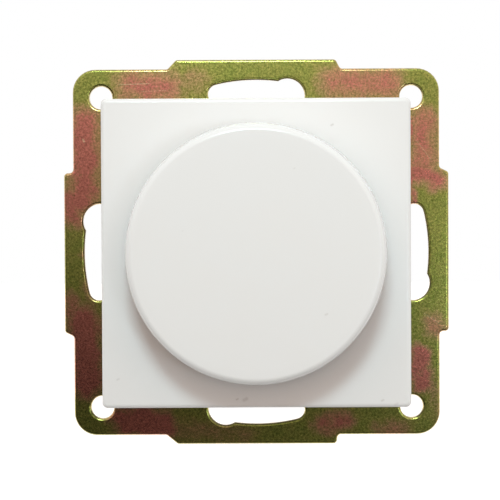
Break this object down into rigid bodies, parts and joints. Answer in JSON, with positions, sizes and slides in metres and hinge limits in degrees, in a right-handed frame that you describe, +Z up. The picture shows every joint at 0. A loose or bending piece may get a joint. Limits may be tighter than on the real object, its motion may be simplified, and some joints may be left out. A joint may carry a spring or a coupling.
{
  "type": "rotary dimmer switch",
  "caption": "Flush rotary dimmer insert: round push-and-turn knob on a square centre plate, carried by a punched steel plate with a moulded case behind.",
  "frame": {"origin": "on the knob's axis, in the plane of the support plate's back face, which sits on the wall", "axes": "the front faces -Y, +X is to the right seen from the front, +Z is up, and +Y goes into the wall box"},
  "size_m": [0.071, 0.049, 0.071],
  "materials": {
    "chromated_steel": "yellow chromated zinc plating",
    "white_gloss": "white glossy moulding",
    "zinc_steel": "bright zinc plating",
    "spring_steel": "plain spring steel",
    "bush_brass": "nickel plated brass",
    "contact_brass": "plain brass",
    "copper_wire": "enamelled copper",
    "shaft_steel": "turned steel",
    "grey_case": "dark grey moulding, fine grain",
    "black_plastic": "moulded",
    "phenolic": "brown phenolic laminate",
    "board": "green laminate",
    "film_box": "yellow resin box",
    "resistor_body": "lacquered body",
    "glass": "clear glass",
    "iron_powder": "yellow coated iron powder",
    "blue_plastic": "moulded",
    "insulating_pad": "grey silicone"
  },
  "bodies": {
    "insert": {"support_plate": "chromated_steel", "centre_plate": "white_gloss", "pot_bush": "bush_brass", "bush_nuts": "zinc_steel", "lock_washer": "zinc_steel", "pot_case": "zinc_steel", "resistor_track": "phenolic", "pot_tags": "contact_brass", "switch_case": "black_plastic", "switch_spring": "spring_steel", "switch_tags": "contact_brass", "circuit_board": "board", "film_capacitor": "film_box", "timing_capacitor": "film_box", "resistors": "resistor_body", "diac": "glass", "choke_core": "iron_powder", "choke_winding": "copper_wire", "trimmer_base": "black_plastic", "fuse_tube": "glass", "fuse_caps": "bush_brass", "fuse_wire": "copper_wire", "fuse_clips": "contact_brass", "triac_tab": "zinc_steel", "triac_case": "black_plastic", "triac_pad": "insulating_pad", "triac_screw": "zinc_steel", "triac_nut": "zinc_steel", "rear_case": "grey_case", "case_screws": "zinc_steel", "terminal_cages": "contact_brass", "terminal_screws": "zinc_steel"},
    "push_slider": {"switch_plunger": "white_gloss", "switch_bridge": "contact_brass"},
    "knob_and_shaft": {"knob": "white_gloss", "knob_clip": "spring_steel", "shaft": "shaft_steel", "shaft_ring": "spring_steel"},
    "wiper": {"wiper_rotor": "black_plastic", "wiper_contact": "contact_brass"},
    "trimmer": {"trimmer_rotor": "blue_plastic"}
  },
  "joints": [
    {"name": "knob_push", "type": "slide", "parent": "insert", "child": "push_slider", "axis": [0, 1, 0], "range_m": [0, 0.0015], "stiffness_N_per_m": 800, "springref_m": -0.004, "deforming": ["switch_spring"]},
    {"name": "knob_turn", "type": "hinge", "parent": "push_slider", "child": "knob_and_shaft", "pos_m": [0, 0, 0], "axis": [0, 1, 0], "range_deg": [-150, 150]},
    {"name": "wiper_turn", "type": "hinge", "parent": "insert", "child": "wiper", "pos_m": [0, 0, 0], "axis": [0, 1, 0], "range_deg": [-150, 150]},
    {"name": "trimmer_turn", "type": "hinge", "parent": "insert", "child": "trimmer", "pos_m": [0.0046, 0.0105, 0.015], "axis": [0, 1, 0], "range_deg": [-120, 120]}
  ],
  "couplings": [
    {"joint": "wiper_turn", "follows": "knob_turn", "ratio": 1}
  ]
}
